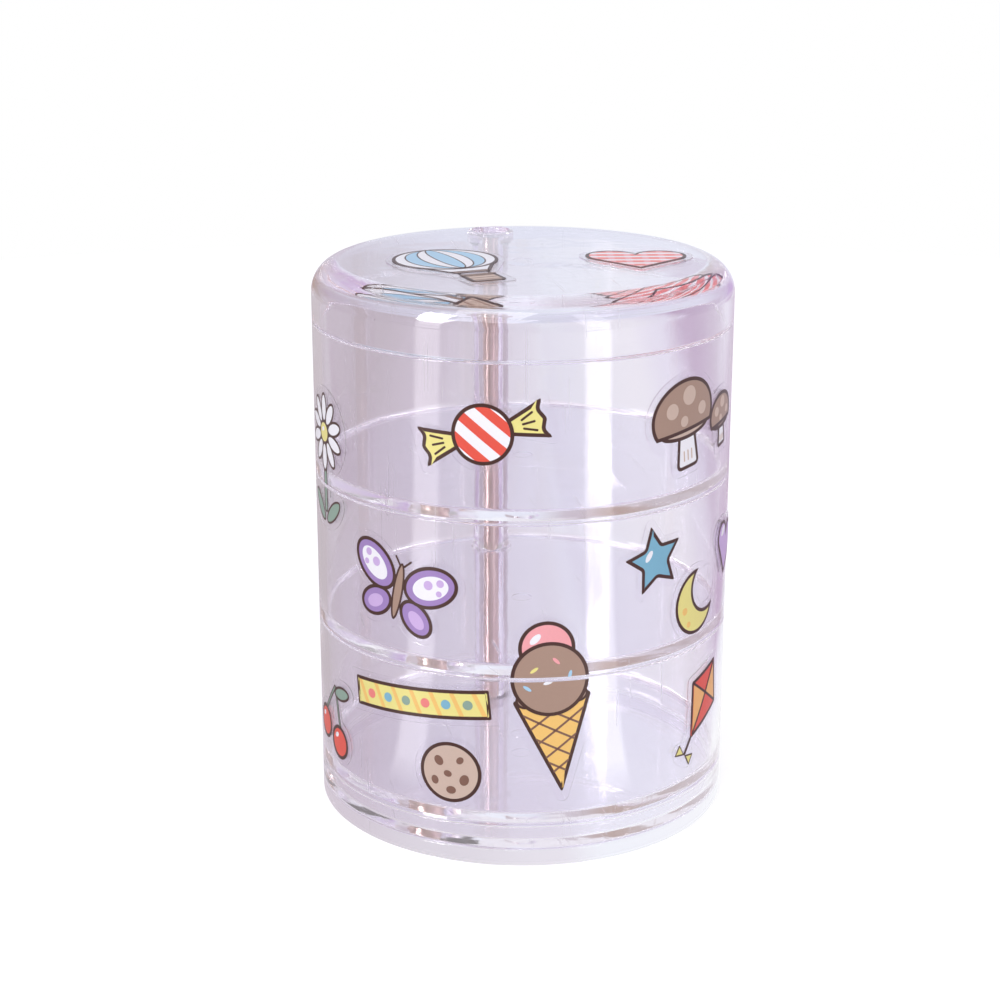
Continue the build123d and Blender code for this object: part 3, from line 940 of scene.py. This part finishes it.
def crescent(radius, inner, middle_x, middle_y, steps=24):
    """The points of a crescent: a round less a smaller round at middle_x, middle_y."""
    apart = (middle_x ** 2 + middle_y ** 2) ** 0.5
    lean = atan2(middle_y, middle_x)
    tip = acos((apart ** 2 + radius ** 2 - inner ** 2) / (2 * apart * radius))
    tip_inner = acos((apart ** 2 + inner ** 2 - radius ** 2) / (2 * apart * inner))
    outside = [lean + tip + (2 * pi - 2 * tip) * i / steps for i in range(steps + 1)]
    inside = [lean + pi + tip_inner - 2 * tip_inner * i / steps for i in range(1, steps)]
    return ([(radius * cos(a), radius * sin(a)) for a in outside]
            + [(middle_x + inner * cos(a), middle_y + inner * sin(a)) for a in inside])


moon_r = 8.0
moon = [ink(plate(crescent(moon_r, 0.75 * moon_r, 0.55 * moon_r, 0.4 * moon_r)), "line", 1, 0),
        ink(plate(crescent(moon_r - line_wide, 0.75 * moon_r + line_wide, 0.55 * moon_r, 0.4 * moon_r)),
            "yellow", 2, 0),
        ink(disc(-4.6, -1.4, 0.9, 0.9), "amber", 3, 0), ink(disc(-3, -5, 0.7, 0.7), "amber", 3, 0)]
wall_print("print_moon", moon, 42, middle_low + 11.5 * mm, 0, "tray_middle")


# Heart sticker
# A lilac heart with a soft highlight, printed flat and wrapped round the right side of the
# middle tray.
def heart_points(width, inside=0.0):
    """The points of a heart as wide as width, drawn in by inside."""
    half = width / 2
    lobe_x, lobe_y, lobe_r = 0.48 * half, 0.3 * half, 0.52 * half - inside
    cleft = degrees(acos(-lobe_x / lobe_r)) if lobe_r > lobe_x else 165
    right = [(lobe_x + lobe_r * cos(radians(a)), lobe_y + lobe_r * sin(radians(a)))
             for a in [-40 + (cleft + 40) * i / 16 for i in range(17)]]
    foot = [(0, -0.95 * half + 1.4 * inside)]
    return foot + right + [(-x, y) for x, y in reversed(right[:-1])]


heart = [ink(plate(heart_points(15)), "lilac", 1), ink(disc(-3.6, 3.6, 1.7, 0.9, 40, 32), "white", 2, 0)]
wall_print("print_heart", heart, 63, middle_low + 20 * mm, -12, "tray_middle")

# Ice cream sticker
# Two scoops with sprinkles on a wafer cone. It is cut where the middle tray stands on the
# lower one.
cone = [(-9.2, 0.6), (9.2, 0.6), (0, -23.4)]
ice_cream = [ink(plate(cone, 1.0), "amber", 1)]
for lean in (-1, 1):
    for i in range(1, 5):
        lattice = plate([(-8.2, 0), (8.2, 0), (0, -21.6)], 0.3)
        ice_cream.append(ink(band(lattice, 0, -4.6 * i + 1.5, 90 + 33 * lean, 0.5), "dark", 2, 0))
ice_cream.append(ink(disc(0, 12.5, 6.5), "pink", 3))
ice_cream.append(ink(disc(0, 5, 9), "cocoa", 4))
for x, y in ((-6, 0.4), (-2.1, -0.6), (2.1, -0.5), (6, 0.4)):
    ice_cream.append(ink(disc(x, y, 2.4, 2.0, 0, 32), "cocoa", 3, 0.6))
for x, y, turn, colour in ((-3.4, 7.6, 30, "yellow"), (1.8, 9.2, -50, "pink"), (4.6, 5.4, 70, "sky"),
                           (-0.6, 4.2, 10, "white"), (-5.4, 3.4, -40, "sky")):
    ice_cream.append(ink(disc(x, y, 1.1, 0.4, turn, 20), colour, 5, 0))
ice_cream.append(ink(disc(-2.4, 15, 1.6, 0.8, 40, 32), "white", 4, 0))
wall_print("print_cone", ice_cream, -4, middle_low - 5 * mm, 6, "tray_lower", "tray_middle")

# Tape sticker
# A strip of yellow paper tape with slanted stripes and coloured dots, printed flat and
# wrapped round the lower tray.
tape_long, tape_high = 36.0, 7.2
half_long, half_high = tape_long / 2, tape_high / 2
tape_edge = [(-half_long, half_high), (-half_long, -half_high), (half_long, -half_high),
             (half_long, half_high)]
inner_edge = [(x - (line_wide if x > 0 else -line_wide), y - (line_wide if y > 0 else -line_wide))
              for x, y in tape_edge]
tape = [ink(plate(tape_edge, 0.4), "yellow", 1)]
for i in range(-3, 4):
    tape.append(ink(band(plate(inner_edge), 5.2 * i, 0, 20, 1.0), "amber", 2, 0))
for i in range(-3, 3):
    tape.append(ink(disc(5.2 * i + 2.6, 0, 1.15, 1.15, 0, 32), ("rose", "blue", "green")[i % 3], 3, 0))
wall_print("print_tape", tape, -41, lower_low + 28.5 * mm, 5, "tray_lower")

# Cookie sticker
# A round cookie with dark chips, printed flat and wrapped round the lower tray under the
# tape.
cookie = [ink(disc(0, 0, 7.5), "tan", 1)]
for x, y, chip_r in ((-2.8, 2.6, 1.3), (2.4, 3.2, 1.0), (3.4, -1.6, 1.4), (-0.6, -0.4, 1.0),
                     (-3.8, -2.4, 1.1), (0.2, -4.4, 1.2)):
    cookie.append(ink(disc(x, y, chip_r, 0.8 * chip_r, 20 * x, 24), "dark", 2, 0))
wall_print("print_cookie", cookie, -31, lower_low + 12.5 * mm, 0, "tray_lower")

# Cherry sticker
# Two red cherries on stalks that meet under a leaf, printed flat and wrapped round the
# left side of the lower tray.
top = (1.0, 8.0)
cherries = []
for x, y in ((-4.6, -4.5), (4.8, -5.5)):
    cherries.append(ink(stroke(x, y + 3.6, *top, 1.1), "green", 1, 0.35))
    cherries.append(ink(disc(x, y, 4.3), "red", 2))
    cherries.append(ink(disc(x - 1.5, y + 1.4, 1.0, 0.6, 40, 24), "white", 3, 0))
cherries.append(ink(disc(4.5, 7.5, 3.9, 1.9, 20), "green", 3, 0.6))
wall_print("print_cherries", cherries, -77, lower_low + 16 * mm, -8, "tray_lower")

# Kite sticker
# A diamond kite in four panels with a bow on its tail, printed flat and wrapped round the
# right side of the lower tray.
kite_top, kite_side, kite_foot = (0, 13), (8, 4), (0, -8)
kite = [ink(stroke(0, -7.5, 0, -12, 0.9), "line", 1, 0)]
kite.append(ink(plate([kite_top, kite_side, kite_foot, (-8, 4)], 0.5), "red", 2))
crossing = (0, 4)
for corners in ((kite_top, kite_side, crossing), (crossing, kite_foot, (-8, 4))):
    panel = [(0.86 * x, 0.86 * (y - 4) + 4) for x, y in corners]
    kite.append(ink(plate(panel), "orange", 3, 0))
kite.append(ink(stroke(0, 11.8, 0, -6.8, 0.6), "line", 4, 0))
kite.append(ink(stroke(-7, 4, 7, 4, 0.6), "line", 4, 0))
for side in (-1, 1):
    bow = [(0, -12), (3.4 * side, -10.4), (3.4 * side, -13.6)]
    kite.append(ink(plate(bow, 0.4), "yellow", 3, 0.4))
wall_print("print_kite", kite, 46, lower_low + 20 * mm, -35, "tray_lower")


# Balloon sticker
# A striped balloon with its basket, flat on the lid. The underside of a lid print shows
# through the plate, so it has a thin copy of its own just inside the plastic, whose inks glow with painted
# light.
lid_print_high = 0.2 * mm
back_thin = -0.1
back_drop = 0.22 * mm
# Painted light: the underside copy's inks glow in their own colour with this strength.
lid_back_glow = 0.55


def lid_print(name, patches, x, y, tilt):
    """Lays a motif flat on the lid, round x, y."""
    motif = sheet_of(patches, tilt)
    edit(motif)
    bpy.ops.mesh.select_all(action="SELECT")
    bpy.ops.transform.translate(value=(x * mm, y * mm, lid_top + lid_print_high))
    close()
    back = motif.copy()
    back.data = motif.data.copy()
    bpy.context.collection.objects.link(back)
    edit(back)
    bpy.ops.mesh.select_all(action="SELECT")
    bpy.ops.transform.resize(value=(1, 1, back_thin), center_override=(0, 0, lid_top + lid_print_high))
    bpy.ops.transform.translate(value=(0, 0, -back_drop))
    close()
    thicken(motif, name, "lid")
    thicken(back, f"{name}_back", "lid")
    # Painted light: the underside copy's inks glow.
    for slot in back.material_slots:
        slot.material = ink_material(slot.material.name.removeprefix("ink_"), lid_back_glow)


bag_y, bag_r = 7.0, 12.5
balloon = [ink(plate([(-10.4, 1), (10.4, 1), (4.3, -9.8), (-4.3, -9.8)], 0.8), "white", 1),
           ink(disc(0, bag_y, bag_r), "white", 2)]
for half_gore, colour, level in ((9.2, "sky", 3), (5.6, "white", 4), (2.4, "sky", 5)):
    balloon.append(ink(disc(0, bag_y, half_gore, bag_r - line_wide), colour, level, 0.35))
balloon.append(ink(plate([(-5.0, -8.0), (5.0, -8.0), (4.3, -9.9), (-4.3, -9.9)], 0.3), "cocoa", 3, 0.5))
for side in (-1, 1):
    balloon.append(ink(stroke(3.6 * side, -9.6, 3.6 * side, -13.2, 0.5), "line", 1, 0))
balloon.append(ink(plate([(-4.2, -12.4), (-4.2, -20.2), (4.2, -20.2), (4.2, -12.4)], 1.2), "tan", 2))
for i in (-1, 0, 1):
    balloon.append(ink(stroke(-3.2, -16.4 + 2.2 * i, 3.2, -16.4 + 2.2 * i, 0.4), "dark", 3, 0))
balloon.append(ink(stroke(-4.4, -12.8, 4.4, -12.8, 1.5), "cocoa", 4, 0.4))
lid_print("print_balloon", balloon, -17, -6, 12)

# Gingham heart sticker
# A pink-red heart with a white woven check, flat on the lid to the right of the balloon.
# Its underside has a copy too.
check_step = 4.0
checked = [ink(plate(heart_points(24)), "rose", 1)]
for check_turn in (0, 90):
    for i in range(-3, 3):
        stripe = plate(heart_points(24, line_wide))
        shift = (i + 0.5) * check_step
        across_by = (shift * cos(radians(check_turn)), shift * sin(radians(check_turn)))
        stripe = band(stripe, *across_by, check_turn, 1.5)
        if stripe.data.polygons:
            checked.append(ink(stripe, "white" if check_turn else "pink", 3 if check_turn else 2, 0))
        else:
            bpy.data.objects.remove(stripe)
lid_print("print_big_heart", checked, 26, -7, -10)
